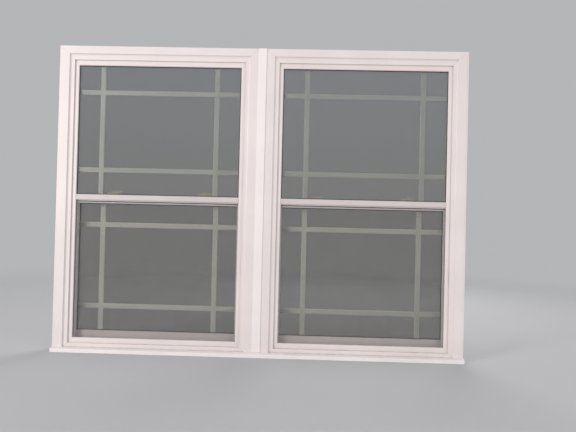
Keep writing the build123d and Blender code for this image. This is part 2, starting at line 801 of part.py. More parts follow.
def tang_screw_top():
    return PIVOT_Z + TANG_THICK / 2 + TANG_SCREW_PAST


def build_pivot_bar(sign):
    """A flat tang in the sash corner with a round pin that turns in the shoe."""
    pin_end = OPEN_HALF + POCKET_OUT - PIN_SETBACK
    pin = rod_x(sign * (SASH_HALF + PIN_START), sign * pin_end, PIVOT_Y, PIVOT_Z, PIVOT_DIAMETER)
    bar = tang_box(sign) + pin
    for x in tang_screw_xs(sign):
        bar = bar - rod_z(x, PIVOT_Y, PIVOT_Z - TANG_THICK, PIVOT_Z + TANG_THICK, clear_hole())
    return bar


def build_shoe(sign):
    """The block that runs in the jamb pocket: bore for the pin, hook slot for the rod."""
    inner = OPEN_HALF + POCKET_IN + SHOE_CLEAR
    outer = OPEN_HALF + POCKET_OUT - SHOE_CLEAR
    xs = sorted((sign * inner, sign * outer))
    shoe = block(xs[0], xs[1], POCKET_FRONT + SHOE_CLEAR, POCKET_BACK - SHOE_CLEAR, SHOE_FOOT, SHOE_HEAD)
    shoe = chamfer(shoe.edges().filter_by(Axis.X), SHOE_CHAMFER)
    bore_in, bore_out = sign * (inner - CUT_PAST), sign * (outer + CUT_PAST)
    bore = rod_x(bore_in, bore_out, PIVOT_Y, PIVOT_Z, PIVOT_DIAMETER + 2 * PIVOT_FIT)
    return shoe - bore


def build_rod(sign):
    """The twisted strip of the spiral balance, from the shoe into its tube."""
    length = TUBE_FOOT + ROD_LAP - SHOE_HEAD
    strip = Face.make_rect(ROD_WIDTH, ROD_THICK)
    turns = 360 * length / ROD_PITCH
    twisted = Solid.extrude_linear_with_rotation(strip, (0, 0, 0), (0, 0, length), turns)
    return twisted.moved(Location((sign * BALANCE_X, PIVOT_Y, SHOE_HEAD)))


def build_tube(sign):
    """The balance tube, open below and plugged at its head, where its screw passes."""
    x = sign * BALANCE_X
    tube = rod_z(x, PIVOT_Y, TUBE_FOOT, TUBE_HEAD, TUBE_DIAMETER)
    bore_foot, bore_head = TUBE_FOOT - CUT_PAST, TUBE_HEAD - TUBE_PLUG
    bore = rod_z(x, PIVOT_Y, bore_foot, bore_head, TUBE_DIAMETER - 2 * TUBE_WALL)
    return tube - bore - tube_screw_hole(sign)


def build_screen_frame():
    """The roll-formed screen frame: a rebate that the mesh lies on, ending in the spline's groove."""
    seat = SCREEN_DEPTH + MESH_THICK
    back = SCREEN_DEPTH + SCREEN_THICK
    groove = MESH_BITE + SPLINE_WIDTH
    section = outline(
        (0, seat + SCREEN_EASE),
        (SCREEN_EASE, seat),
        (MESH_BITE, seat),
        (MESH_BITE, SCREEN_DEPTH + SPLINE_DEPTH),
        (groove, SCREEN_DEPTH + SPLINE_DEPTH),
        (groove, SCREEN_DEPTH),
        (SCREEN_BAR, SCREEN_DEPTH),
        (SCREEN_BAR, back),
        (SCREEN_EASE, back),
        (0, back - SCREEN_EASE),
    )
    return even_ring(screen_lite(), section)


def screen_lite():
    side = OPEN_HALF + SCREEN_LAP - SCREEN_BAR
    return (-side, side, SCREEN_FOOT + SCREEN_BAR, SCREEN_HEAD - SCREEN_BAR)


def build_mesh():
    return sheet(grown(screen_lite(), MESH_BITE), SCREEN_DEPTH, SCREEN_DEPTH + MESH_THICK)


def build_weatherstrip():
    """Pile strips on the jambs and the meeting rail, and the bulb under the sash."""
    strips = []
    gap = SASH_GAP - PILE_GAP
    back, half_pile = STOP + gap, PILE_WIDTH / 2
    for sign in (-1, 1):
        mid = sign * (OPEN_HALF + (RING_WIDTH + CHANNEL) / 2)
        strips.append(block(mid - half_pile, mid + half_pile, STOP, back, PIVOT_Z + PIVOT_UP, SASH_HEAD))
    half = OPEN_HALF + RING_WIDTH
    low = MEETING_FOOT - MEETING_TAIL + PILE_UP
    strips.append(block(-half, half, STOP, back, low, low + PILE_WIDTH))
    bulb_y = SASH_FRONT + SASH_CHAMFER + BULB_SETBACK
    bulb = outline(
        (bulb_y, SILL_FLOOR),
        (bulb_y + PILE_WIDTH, SILL_FLOOR),
        (bulb_y + PILE_WIDTH - BULB_TAPER, SASH_FOOT - PILE_GAP),
        (bulb_y + BULB_TAPER, SASH_FOOT - PILE_GAP),
    )
    strips.append(along_x(bulb, -SASH_HALF, SASH_HALF))
    return strips


def pan_screw(x, y, seat, tip):
    """A pan head screw along Z, from the face its head sits on to its tip."""
    away = 1 if seat > tip else -1
    crown = seat + away * HEAD_HEIGHT
    head = rod_z(x, y, min(seat, crown), max(seat, crown), SCREW_HEAD)
    rim = head.edges().filter_by(GeomType.CIRCLE).sort_by(Axis.Z)[-1 if away > 0 else 0]
    head = fillet(rim, HEAD_ROUND)
    return head + rod_z(x, y, min(seat, tip), max(seat, tip), pilot())


def sash_screws():
    screws = []
    for sign in (-1, 1):
        for x in lock_screw_xs(sign):
            tip = SASH_HEAD - LOCK_SCREW_BITE
            screws.append(pan_screw(x, CAM_Y, lock_screw_seat(), tip))
        for x in tang_screw_xs(sign):
            screws.append(pan_screw(x, PIVOT_Y, SASH_FOOT, tang_screw_top()))
    return screws


def keeper_screws():
    seat = SASH_HEAD + KEEPER_PLATE
    tip = SASH_HEAD - KEEPER_SCREW_BITE
    return [pan_screw(x, keeper_screw_y(), seat, tip) for x in keeper_screw_xs()]


def tube_screws():
    screws = []
    for sign in (-1, 1):
        inner, outer, z = tube_screw_place(sign)
        shank = rod_x(inner, outer, PIVOT_Y, z, pilot())
        head = rod_x(inner - sign * HEAD_HEIGHT, inner, PIVOT_Y, z, SCREW_HEAD)
        screws.append(shank + head)
    return screws


def mullion_screws():
    """Screws from each inner jamb's channel through the jamb into the mullion bar."""
    screws = []
    for sign in (-1, 1):
        for z in install_points():
            floor = sign * (UNIT_GAP / 2 + FACE_WIDTH - CHANNEL)
            seat = floor - sign * SINK_DEPTH
            tip = sign * (UNIT_GAP / 2 - MULLION_WALL - SCREW_POINT)
            head = rod_x(seat, seat + sign * HEAD_HEIGHT, install_depth(), z, INSTALL_SINK - 1)
            screws.append(head + rod_x(seat, tip, install_depth(), z, SCREW_SHANK))
    return screws


def build_mullion_bar():
    """The box section that fills the gap between the two frames."""
    half = UNIT_GAP / 2
    back = FRAME_DEPTH - MULLION_BACK
    bar = block(-half, half, MULLION_FRONT, back, 0, UNIT_HEIGHT)
    wall = MULLION_WALL
    top = UNIT_HEIGHT + CUT_PAST
    bar = bar - block(-half + wall, half - wall, MULLION_FRONT + wall, back - wall, -CUT_PAST, top)
    for z in install_points():
        bar = bar - rod_x(-half - CUT_PAST, half + CUT_PAST, install_depth(), z, clear_hole())
    return bar


def cap_section():
    """A snap-on cap: bevelled plate in front of y = 0 and two legs behind it."""
    half = UNIT_GAP / 2 + CAP_LAP
    leg = UNIT_GAP / 2
    wall = CAP_LEG_WALL
    return outline(
        (-half, 0),
        (-half, -CAP_THICK / 2),
        (-half + CAP_THICK / 2, -CAP_THICK),
        (half - CAP_THICK / 2, -CAP_THICK),
        (half, -CAP_THICK / 2),
        (half, 0),
        (leg, 0),
        (leg, CAP_LEG),
        (leg - wall, CAP_LEG),
        (leg - wall, 0),
        (-leg + wall, 0),
        (-leg + wall, CAP_LEG),
        (-leg, CAP_LEG),
        (-leg, 0),
    )


def build_cap_outside():
    face = Plane.XY.offset(NOSE_HEIGHT) * cap_section()
    return extrude(face, amount=UNIT_HEIGHT - NOSE_HEIGHT, dir=(0, 0, 1))


def build_cap_inside():
    face = Plane(origin=(0, FRAME_DEPTH, 0), x_dir=(-1, 0, 0), z_dir=(0, 0, 1)) * cap_section()
    return extrude(face, amount=UNIT_HEIGHT, dir=(0, 0, 1))


def build_sill_nose():
    """The nosing: sloped top, rounded front, drip groove underneath."""
    section = outline(
        (0, 0),
        (0, NOSE_HEIGHT),
        (-NOSE_OUT, NOSE_FRONT),
        (-NOSE_OUT, 0),
        (-NOSE_OUT + 2 * DRIP, 0),
        (-NOSE_OUT + 2 * DRIP, DRIP),
        (-NOSE_OUT + 3 * DRIP, DRIP),
        (-NOSE_OUT + 3 * DRIP, 0),
    )
    half = PITCH / 2 + UNIT_WIDTH / 2
    nose = along_x(section, -half, half)
    top_edge = nose.edges().filter_by(Axis.X).group_by(Axis.Y)[0].sort_by(Axis.Z)[-1]
    return fillet(top_edge, NOSE_ROUND)


def both(maker):
    return [maker(-1), maker(1)]


def build_unit():
    """Every piece of one unit, centred on x = 0."""
    upper_cavity = GLASS_FRONT + GLASS
    sash_glass = SASH_FRONT + SASH_LEG
    sash_cavity = sash_glass + GLASS
    return {
        "frame": [build_frame()],
        "upper_outer_pane": [glass_pane(UPPER_LITE, GLASS_FRONT)],
        "upper_inner_pane": [glass_pane(UPPER_LITE, upper_cavity + CAVITY)],
        "upper_spacer": [spacer(UPPER_LITE, upper_cavity)],
        "upper_grille": [grille(UPPER_LITE, upper_cavity, UPPER_GRILLE_TOP, UPPER_GRILLE_FOOT)],
        "upper_glazing_beads": [
            glazing_beads(UPPER_LITE, RING_WIDTH, BEAD_FRONT, LEG_FRONT, BEAD_SLOPE)
        ],
        "meeting_rail": [build_meeting_rail()],
        "sash": [build_sash()],
        "sash_outer_pane": [glass_pane(SASH_LITE, sash_glass)],
        "sash_inner_pane": [glass_pane(SASH_LITE, sash_cavity + CAVITY)],
        "sash_spacer": [spacer(SASH_LITE, sash_cavity)],
        "sash_grille": [grille(SASH_LITE, sash_cavity, SASH_GRILLE_TOP, SASH_GRILLE_FOOT)],
        "sash_glazing_beads": [
            glazing_beads(SASH_LITE, GLASS_SEAT, sash_glass + UNIT_GLASS, SASH_BACK, SASH_BEAD_SLOPE)
        ],
        "lock_bases": both(build_lock_base),
        "lock_cam_left": [build_cam(-1)],
        "lock_cam_right": [build_cam(1)],
        "keepers": both(build_keeper),
        "tilt_latch_left": [build_latch(-1)],
        "tilt_latch_right": [build_latch(1)],
        "pivot_bars": both(build_pivot_bar),
        "balance_shoes": both(build_shoe),
        "spiral_rods": both(build_rod),
        "balance_tubes": both(build_tube),
        "screen_frame": [build_screen_frame()],
        "screen_mesh": [build_mesh()],
        "weatherstrip": build_weatherstrip(),
        "sash_screws": sash_screws(),
    }


def write(name, solids):
    """One STEP file for each named piece."""
    label = solids[0] if len(solids) == 1 else Compound(children=[s.solid() for s in solids])
    export_step(label, os.path.join("parts", name + ".step"))


def main():
    os.makedirs("parts", exist_ok=True)
    unit = build_unit()
    loose = keeper_screws() + tube_screws()
    screws = mullion_screws()
    for side, centre in (("left", -PITCH / 2), ("right", PITCH / 2)):
        place = Location((centre, 0, 0))
        for name, solids in unit.items():
            write(side + "_" + name, [solid.moved(place) for solid in solids])
        screws = screws + [screw.moved(place) for screw in loose]
    write("mullion_bar", [build_mullion_bar()])
    write("mullion_cap_outside", [build_cap_outside()])
    write("mullion_cap_inside", [build_cap_inside()])
    write("sill_nose", [build_sill_nose()])
    write("frame_screws", screws)


main()
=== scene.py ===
# %% [markdown]
# # A twin sash window, dressed for its picture
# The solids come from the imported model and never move. This lesson gives each of them a finish, and adds
# the small pieces that a solid model shows too plainly: woven insect mesh with its spline, seals, pile and
# screws. Everything is in metres: X along the wall, Y from outside into the room, Z up.

import bmesh
import bpy
import math
from mathutils import Matrix, Vector

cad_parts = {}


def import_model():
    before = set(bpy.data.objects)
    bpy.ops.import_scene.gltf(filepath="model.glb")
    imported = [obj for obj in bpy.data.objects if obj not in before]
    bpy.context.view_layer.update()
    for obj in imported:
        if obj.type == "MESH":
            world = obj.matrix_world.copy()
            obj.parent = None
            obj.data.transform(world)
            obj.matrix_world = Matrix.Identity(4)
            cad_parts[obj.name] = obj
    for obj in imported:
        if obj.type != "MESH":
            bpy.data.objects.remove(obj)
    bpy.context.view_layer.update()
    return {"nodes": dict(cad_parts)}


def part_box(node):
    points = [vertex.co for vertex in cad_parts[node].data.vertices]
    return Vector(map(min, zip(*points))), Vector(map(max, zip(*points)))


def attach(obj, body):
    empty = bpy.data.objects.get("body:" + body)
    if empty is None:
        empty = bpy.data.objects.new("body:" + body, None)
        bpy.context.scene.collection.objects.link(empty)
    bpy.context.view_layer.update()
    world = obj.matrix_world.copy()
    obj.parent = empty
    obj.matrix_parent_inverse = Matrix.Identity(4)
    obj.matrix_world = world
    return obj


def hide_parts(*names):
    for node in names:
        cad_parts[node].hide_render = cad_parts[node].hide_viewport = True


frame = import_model()
nodes = frame["nodes"]
SIDES = ("left", "right")

# %% [markdown]
# ## Measures
# The scene reads its measures from the nodes' own boxes and corners, so the pieces follow when the window
# changes size. The daylight opening is the pane's box less the glass bite, the strip by which every pane
# laps behind the vinyl that holds it.

# %% Measures
GLASS_BITE = 0.012


def daylight(side, pane="upper_outer_pane"):
    """The opening of a lite: x0, x1, z0, z1."""
    low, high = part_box(f"{side}_{pane}")
    return low.x + GLASS_BITE, high.x - GLASS_BITE, low.z + GLASS_BITE, high.z - GLASS_BITE


def middle(side):
    low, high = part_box(f"{side}_frame")
    return (low.x + high.x) / 2


UNIT_CENTRE = abs(middle("left"))
OPEN_HALF = (daylight("left")[1] - daylight("left")[0]) / 2
OPEN_HEAD = daylight("left")[3]
NEAR = 1e-4


def sill_edge(side):
    """Height of the daylight edge over the sill: the frame's lowest corner at the opening's width."""
    centre = middle(side)
    points = [v.co for v in nodes[f"{side}_frame"].data.vertices]
    return min(p.z for p in points if abs(abs(p.x - centre) - OPEN_HALF) < NEAR)


SILL_FACE = sill_edge("left")
print("unit centres at", round(UNIT_CENTRE, 4), "opening half", round(OPEN_HALF, 4))
print("daylight from", round(SILL_FACE, 4), "to", round(OPEN_HEAD, 4))

# %% [markdown]
# ## Helpers for shader nodes
# A material is a small tree of nodes. A few helpers keep each recipe short: they make a node and wire its
# inputs, do a sum, make a soft step, shade or mix colours, or give noise or bump. They only shorten the
# typing. The trees stay ordinary, and `wear` hands a finish to solid nodes, whose shape is left alone.


# %% Helpers for shader nodes
def add(tree, kind, inputs=None, **settings):
    """A shader node with its settings, and inputs given as numbers or as other nodes' sockets."""
    node = tree.nodes.new(kind)
    for name, value in settings.items():
        setattr(node, name, value)
    for name, value in (inputs or {}).items():
        if isinstance(value, bpy.types.NodeSocket):
            tree.links.new(value, node.inputs[name])
        else:
            node.inputs[name].default_value = value
    return node


def sum_up(tree, how, a, b=0.0, clamp=False):
    """One Math node."""
    return add(tree, "ShaderNodeMath", {0: a, 1: b}, operation=how, use_clamp=clamp).outputs[0]


def soft_step(tree, value, start, end):
    """0 before start, 1 after end, smooth between."""
    node = add(tree, "ShaderNodeMapRange", {"Value": value, "From Min": start, "From Max": end},
               interpolation_type="SMOOTHSTEP")
    return node.outputs["Result"]


def between(tree, value, low, high):
    """A value of 0 to 1, moved to lie between two numbers."""
    return add(tree, "ShaderNodeMapRange", {"Value": value, "To Min": low, "To Max": high}).outputs["Result"]


def shaded(colour, factor):
    """A colour made lighter or darker, with the opacity that a colour socket asks for."""
    return (*(c * factor for c in colour), 1)


def mix_colour(tree, share, a, b):
    node = add(tree, "ShaderNodeMix", data_type="RGBA")
    for socket, value in ((node.inputs[0], share), (node.inputs[6], a), (node.inputs[7], b)):
        if isinstance(value, bpy.types.NodeSocket):
            tree.links.new(value, socket)
        else:
            socket.default_value = value
    return node.outputs[2]


def place(tree):
    """The point on the piece in the frame's own coordinates."""
    coordinates = add(tree, "ShaderNodeTexCoord").outputs["Object"]
    split = add(tree, "ShaderNodeSeparateXYZ", {"Vector": coordinates})
    return coordinates, split.outputs["X"], split.outputs["Y"], split.outputs["Z"]


def noise(tree, coordinates, scale, detail=2.0, stretch=(1, 1, 1)):
    moved = add(tree, "ShaderNodeMapping", {"Vector": coordinates, "Scale": stretch}).outputs["Vector"]
    node = add(tree, "ShaderNodeTexNoise", {"Vector": moved, "Scale": scale, "Detail": detail})
    return node.outputs["Fac"]


def bump(tree, height, distance, strength=1.0, under=None):
    inputs = {"Height": height, "Distance": distance, "Strength": strength}
    if under is not None:
        inputs["Normal"] = under
    return add(tree, "ShaderNodeBump", inputs).outputs["Normal"]


def finish_of(name):
    """A new material with an empty tree, its surface shader and its output."""
    material = bpy.data.materials.new(name)
    material.use_nodes = True
    tree = material.node_tree
    tree.nodes.clear()
    shader = add(tree, "ShaderNodeBsdfPrincipled")
    output = add(tree, "ShaderNodeOutputMaterial")
    tree.links.new(shader.outputs["BSDF"], output.inputs["Surface"])
    return material, tree, shader, output


def mottled(name, dark, light, scale, detail, rough, sheen=0.0):
    """A dull finish whose tone wanders between two colours."""
    material, tree, shader, output = finish_of(name)
    coordinates, x, y, z = place(tree)
    tone = mix_colour(tree, noise(tree, coordinates, scale, detail), (*dark, 1), (*light, 1))
    tree.links.new(tone, shader.inputs["Base Color"])
    shader.inputs["Roughness"].default_value = rough
    shader.inputs["Sheen Weight"].default_value = sheen
    return material


dressed = set()


def wear(material, *node_names):
    """Puts a finish in the material slot of solid nodes."""
    for name in node_names:
        mesh = nodes[name].data
        mesh.materials.clear()
        mesh.materials.append(material)
        dressed.add(name)


def each_side(*parts):
    return [f"{side}_{part}" for side in SIDES for part in parts]


# %% [markdown]
# ## Extruded white vinyl
# Frame, sash, beads, rails and caps are one satin plastic, extruded and then cut and welded at the corners.
# Caps and sill nose get a lighter copy of its white, which is painted light, and the meeting rails get a
# darker copy, which is painted shade.
# Four things make it read as real: a slow change of tone where the sun has chalked it, a fine orange peel,
# the thin weld line in every corner, and dust. Head and sill have a wider moulding than the jambs, so the
# weld bends where their lines meet, in front of the glass only. Dust lies where the piece's own normal
# looks up, most of it low down. A mask by the normal needs no list of ledges, and it stays with a sash that
# moves. The rain washes the nosing, so `dusty` leaves little on it.


# %% Extruded white vinyl
WELD_WIDTH = 0.0006
# The moulding's lines lie at these distances out from the daylight edge.
QUIRK_END, COVE_END, BEAD_IN, SILL_STEP = 0.017, 0.036, 0.069, 0.036
HEAD_SPREAD = 1.25
TOP_BENDS = ((COVE_END, COVE_END * HEAD_SPREAD), (BEAD_IN, BEAD_IN))
FOOT_BENDS = ((QUIRK_END, QUIRK_END * HEAD_SPREAD), (SILL_STEP, SILL_STEP))
MOULDING_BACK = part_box("left_upper_outer_pane")[0].y
FAR = 0.2
DUST = (0.20, 0.145, 0.105, 1)
WELD_TONE = (0.36, 0.33, 0.29, 1)
CHALK_SCALE, STREAK_SCALE, PATCH_SCALE, SPECK_SCALE, PEEL_SCALE = 4.0, 30.0, 55.0, 240.0, 420.0
DOWNWARD = (1, 1, 0.06)
# Dust lies where the normal looks up this far, and more of it below the one height than above the other.
LOOKS_UP = (0.5, 0.9)
LOW_LEDGE, HIGH_LEDGE = 0.06, 0.3
SPLASH_TOP = 0.16
# How strongly streaks, splashes and weld lines show, and what the dirt in the first two does to white.
STREAKS, SPLASHES, WELDS = 0.12, 0.3, 0.55
DIRT_TINT = (0.72, 0.66, 0.57)
PEEL_DEPTH, WELD_DEPTH = 0.00006, 0.0003
ROUGH_SCALE = 9.0
VINYL_IOR = 1.53


def mitre_height(tree, out, bends):
    """How far up or down the weld lies at this distance out from the daylight corner."""
    height, last = 0.0, (0.0, 0.0)
    for bend in (*bends, (FAR, FAR)):
        run = {"Value": out, "From Min": last[0], "From Max": bend[0], "To Max": bend[1] - last[1]}
        height = sum_up(tree, "ADD", height, add(tree, "ShaderNodeMapRange", run).outputs["Result"])
        last = bend
    return height


def weld_lines(tree, x, y, z, half, foot, head, top_bends=(), foot_bends=()):
    """1 on the mitre welds of a ring whose inner edge has this half width, foot and head."""
    folded = sum_up(tree, "ABSOLUTE", sum_up(tree, "SUBTRACT", sum_up(tree, "ABSOLUTE", x), UNIT_CENTRE))
    out = sum_up(tree, "SUBTRACT", folded, half)
    moulded = soft_step(tree, y, MOULDING_BACK + NEAR, MOULDING_BACK)
    above = sum_up(tree, "SUBTRACT", z, head)
    below = sum_up(tree, "SUBTRACT", foot, z)
    lines = []
    for over, bends in ((above, top_bends), (below, foot_bends)):
        bent = sum_up(tree, "SUBTRACT", mitre_height(tree, out, bends), out)
        mitre = sum_up(tree, "ADD", out, sum_up(tree, "MULTIPLY", bent, moulded))
        off = sum_up(tree, "ABSOLUTE", sum_up(tree, "SUBTRACT", mitre, over))
        line = soft_step(tree, off, WELD_WIDTH, WELD_WIDTH / 3)
        inside = soft_step(tree, over, -WELD_WIDTH, 0.0)
        lines.append(sum_up(tree, "MULTIPLY", line, inside))
    return sum_up(tree, "MAXIMUM", lines[0], lines[1])


def settled(tree, coordinates, z):
    """How much dust lies here: on faces that look up, in patches, and more of it near the sill."""
    normal = add(tree, "ShaderNodeTexCoord").outputs["Normal"]
    rise = add(tree, "ShaderNodeSeparateXYZ", {"Vector": normal}).outputs["Z"]
    up = soft_step(tree, rise, *LOOKS_UP)
    patches = soft_step(tree, noise(tree, coordinates, PATCH_SCALE, 4.0), 0.3, 0.65)
    patchy = between(tree, patches, 0.35, 1.0)
    depth = between(tree, soft_step(tree, z, HIGH_LEDGE, LOW_LEDGE), 0.22, 0.72)
    return sum_up(tree, "MULTIPLY", up, sum_up(tree, "MULTIPLY", patchy, depth))


def vinyl(name, colour, ring=None, dusty=1.0):
    """White vinyl: ring places the weld lines of its corners, and dusty is its share of the ledge dust."""
    material, tree, shader, output = finish_of(name)
    coordinates, x, y, z = place(tree)
    chalk = soft_step(tree, noise(tree, coordinates, CHALK_SCALE, 3.0), 0.35, 0.7)
    tone = mix_colour(tree, chalk, shaded(colour, 0.975), shaded(colour, 1.035))
    streak = soft_step(tree, noise(tree, coordinates, STREAK_SCALE, 3.0, DOWNWARD), 0.55, 0.85)
    low_down = soft_step(tree, z, SPLASH_TOP, 0.0)
    speck = soft_step(tree, noise(tree, coordinates, SPECK_SCALE, 2.0), 0.5, 0.75)
    splash = sum_up(tree, "MULTIPLY", low_down, between(tree, speck, 0.2 * SPLASHES, 0.8 * SPLASHES))
    dirt = sum_up(tree, "ADD", sum_up(tree, "MULTIPLY", streak, STREAKS), splash, True)
    tone = mix_colour(tree, dirt, tone, (*(c * tint for c, tint in zip(colour, DIRT_TINT)), 1))
    kept = sum_up(tree, "MULTIPLY", settled(tree, coordinates, z), dusty)
    tone = mix_colour(tree, kept, tone, DUST)
    normal = bump(tree, noise(tree, coordinates, PEEL_SCALE, 2.0), PEEL_DEPTH, 0.5)
    if ring is not None:
        seam = weld_lines(tree, x, y, z, *ring)
        tone = mix_colour(tree, sum_up(tree, "MULTIPLY", seam, WELDS), tone, WELD_TONE)
        normal = bump(tree, sum_up(tree, "SUBTRACT", 1.0, seam), WELD_DEPTH, 0.8, normal)
    rough = between(tree, noise(tree, coordinates, ROUGH_SCALE, 3.0), 0.34, 0.5)
    tree.links.new(tone, shader.inputs["Base Color"])
    tree.links.new(rough, shader.inputs["Roughness"])
    tree.links.new(normal, shader.inputs["Normal"])
    shader.inputs["IOR"].default_value = VINYL_IOR
    return material


WHITE = (0.78, 0.705, 0.675)
# The caps and the sill nose wear a lighter copy of the white: painted light.
WHITE_PAINTED_LIGHT = (0.87, 0.80, 0.775)
# The meeting rails wear a darker copy of the white: painted shade.
WHITE_PAINTED_SHADE = (0.62, 0.55, 0.525)
WASHED = 0.12
# The glass of the sash shows this much less at each side than the fixed glass.
SASH_INSET = 0.002
sash_foot, sash_head = daylight("left", "sash_outer_pane")[2:]
SASH_RING = (OPEN_HALF - SASH_INSET, sash_foot, sash_head)
frame_vinyl = vinyl("frame_vinyl", WHITE, (OPEN_HALF, SILL_FACE, OPEN_HEAD, TOP_BENDS, FOOT_BENDS))
upper_ring = vinyl("upper_bead_vinyl", WHITE, (OPEN_HALF, daylight("left")[2], OPEN_HEAD))
sash_vinyl = vinyl("sash_vinyl", WHITE, SASH_RING)
lighter_vinyl_painted_light = vinyl("lighter_vinyl_painted_light", WHITE_PAINTED_LIGHT, dusty=WASHED)
darker_vinyl_painted_shade = vinyl("darker_vinyl_painted_shade", WHITE_PAINTED_SHADE)
wear(frame_vinyl, *each_side("frame"))
wear(upper_ring, *each_side("upper_glazing_beads"))
wear(sash_vinyl, *each_side("sash", "sash_glazing_beads"))
wear(lighter_vinyl_painted_light, "mullion_cap_outside", "mullion_cap_inside", "sill_nose")
wear(darker_vinyl_painted_shade, *each_side("meeting_rail"))
print("vinyl on", len(dressed), "nodes")

# %% [markdown]
# ## Glass
# Each lite is two panes with dry gas between them. The outer pane is lightly grey and the inner one carries
# the heat-reflecting coat, which is darker. Both greys are partly the glass's own tint and partly painted
# shade: together they give the dusk look of a window seen from outside, with a dim room behind it.
# Light from the lamps passes straight through, as through any thin flat pane, so nothing behind gets a
# false shadow.


# %% Glass
def glass(name, tint, ior):
    material, tree, shader, output = finish_of(name)
    shader.inputs["Base Color"].default_value = (*tint, 1)
    shader.inputs["Roughness"].default_value = 0.0
    shader.inputs["IOR"].default_value = ior
    shader.inputs["Transmission Weight"].default_value = 1.0
    clear = add(tree, "ShaderNodeBsdfTransparent")
    is_shadow = add(tree, "ShaderNodeLightPath").outputs["Is Shadow Ray"]
    both = add(tree, "ShaderNodeMixShader", {0: is_shadow, 1: shader.outputs[0], 2: clear.outputs[0]})
    tree.links.new(both.outputs[0], output.inputs["Surface"])
    return material


# Both tints are partly the glass's own grey and partly painted shade of the dim room behind the lites.
outer_glass_tint_and_shade = glass("outer_glass_tint_and_shade", (0.74, 0.755, 0.75), 1.7)
inner_glass_coat_and_shade = glass("inner_pane_coat_and_shade", (0.43, 0.425, 0.41), 1.5)
wear(outer_glass_tint_and_shade, *each_side("upper_outer_pane", "sash_outer_pane"))
wear(inner_glass_coat_and_shade, *each_side("upper_inner_pane", "sash_inner_pane"))
print("with the glass,", len(dressed), "nodes are dressed")

# %% [markdown]
# ## Paint, metal and moulded plastic
# The bars between the panes, the locks and the screen frame are painted metal, and the balances are zinc
# plated steel and drawn aluminium. Paint has a faint orange peel, a slow drift of tone and smudges in its
# gloss. A moulded piece has the same with a coarser peel, and a drawn metal has fine lines along its length
# and duller spots. One recipe with different numbers covers each family.


# %% Paint, metal and moulded plastic
def paint(name, colour, rough, peel=700.0):
    material, tree, shader, output = finish_of(name)
    coordinates, x, y, z = place(tree)
    tone = mix_colour(tree, noise(tree, coordinates, 12.0, 3.0), shaded(colour, 0.9), (*colour, 1))
    tree.links.new(tone, shader.inputs["Base Color"])
    smudge = noise(tree, coordinates, 40.0, 3.0)
    tree.links.new(between(tree, smudge, rough - 0.06, rough + 0.08), shader.inputs["Roughness"])
    tree.links.new(bump(tree, noise(tree, coordinates, peel), 0.00005, 0.5), shader.inputs["Normal"])
    return material


def drawn_metal(name, colour, rough, along):
    """Metal with fine lines along one axis: the noise is stretched that way."""
    material, tree, shader, output = finish_of(name)
    coordinates, x, y, z = place(tree)
    lines = noise(tree, coordinates, 900.0, 2.0, tuple(0.01 if axis == along else 1 for axis in "XYZ"))
    spots = soft_step(tree, noise(tree, coordinates, 60.0, 4.0), 0.45, 0.7)
    tone = mix_colour(tree, sum_up(tree, "MULTIPLY", lines, 0.5), (*colour, 1), shaded(colour, 0.75))
    tone = mix_colour(tree, sum_up(tree, "MULTIPLY", spots, 0.25), tone, shaded(colour, 0.82))
    tree.links.new(tone, shader.inputs["Base Color"])
    tree.links.new(between(tree, lines, rough - 0.07, rough + 0.1), shader.inputs["Roughness"])
    tree.links.new(bump(tree, lines, 0.00004, 0.6), shader.inputs["Normal"])
    shader.inputs["Metallic"].default_value = 1.0
    return material


# Both bars wear one paint in two copies: a dark one on the upper bars, which is painted shade, and a lighter
# one on the sash bars behind the insect mesh, painted light that makes up for the mesh's shade, so they look
# alike.
upper_bars_shaded_paint = paint("upper_bars_painted_shade", (0.28, 0.28, 0.25), 0.4)
sash_bars_lit_paint = paint("sash_bars_painted_light", (0.66, 0.65, 0.57), 0.4)
lock_paint = paint("lock_paint", (0.82, 0.76, 0.64), 0.36)
screen_paint = paint("screen_frame_paint", (0.79, 0.735, 0.71), 0.42)
shoe_plastic = paint("shoe_plastic", (0.74, 0.73, 0.70), 0.5, 300.0)
latch_plastic = paint("latch_plastic", (0.72, 0.69, 0.60), 0.3, 260.0)
zinc = drawn_metal("zinc_plated_steel", (0.60, 0.60, 0.57), 0.34, "Z")
aluminium = drawn_metal("mill_aluminium", (0.72, 0.72, 0.73), 0.36, "Z")
wear(upper_bars_shaded_paint, *each_side("upper_grille"))
wear(sash_bars_lit_paint, *each_side("sash_grille"))
wear(lock_paint, *each_side("lock_bases", "lock_cam_left", "lock_cam_right", "keepers"))
wear(screen_paint, *each_side("screen_frame"))
wear(shoe_plastic, *each_side("balance_shoes"))
wear(latch_plastic, *each_side("tilt_latch_left", "tilt_latch_right"))
wear(zinc, *each_side("spiral_rods", "pivot_bars", "sash_screws"), "frame_screws")
wear(aluminium, *each_side("balance_tubes"), "mullion_bar")
print("with paint, plastic and metal,", len(dressed), "nodes are dressed")

# %% [markdown]
# ## Edge spacer
# The two panes are held apart by a dark strip with a sealant behind it. Its face towards the gap has rows
# of tiny holes that lead to a drying powder. They are small enough to be a pattern: the texture of cells,
# with its cells in even rows, gives round dots, painted darker as the shade inside each hole.


